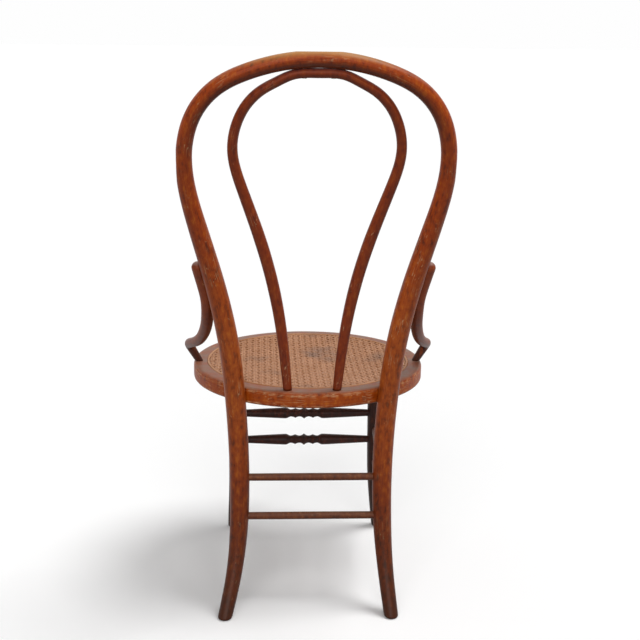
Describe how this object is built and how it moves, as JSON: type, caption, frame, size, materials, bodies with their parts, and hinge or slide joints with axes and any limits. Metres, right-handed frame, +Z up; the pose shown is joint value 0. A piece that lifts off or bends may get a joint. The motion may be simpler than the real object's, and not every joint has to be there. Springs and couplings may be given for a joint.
{
  "type": "bentwood side chair",
  "caption": "Bentwood bistro chair: a tall looped back with a smaller loop inside it, hip braces, a round caned seat, splayed legs and turned and plain stretchers.",
  "frame": {"origin": "on the floor, under the middle of the chair's outline", "axes": "+Z up, the chair's front faces -Y, the sitter's left is +X"},
  "size_m": [0.4458, 0.5181, 0.9481],
  "materials": {
    "bentwood": "satin brown varnish, worn",
    "seat_rim_wood": "satin brown varnish, scuffed",
    "stretcher_wood": "dark varnish",
    "cane": "split cane, aged and matt",
    "spline_reed": "reed, matt",
    "steel": "dull with age"
  },
  "bodies": {
    "root": {"back_hoop": "bentwood", "brace_screws": "steel", "cane_panel": "cane", "cane_spline": "spline_reed", "crown_screws": "steel", "front_leg_left": "bentwood", "front_leg_right": "bentwood", "front_stretcher_lower": "stretcher_wood", "front_stretcher_upper": "stretcher_wood", "hip_brace_left": "bentwood", "hip_brace_right": "bentwood", "inner_hoop": "bentwood", "leg_bolt_washers": "steel", "leg_bolts": "steel", "rear_stretcher_lower": "stretcher_wood", "rear_stretcher_upper": "stretcher_wood", "seat_frame": "seat_rim_wood", "side_stretcher_left_lower": "stretcher_wood", "side_stretcher_left_upper": "stretcher_wood", "side_stretcher_right_lower": "stretcher_wood", "side_stretcher_right_upper": "stretcher_wood"}
  },
  "joints": []
}
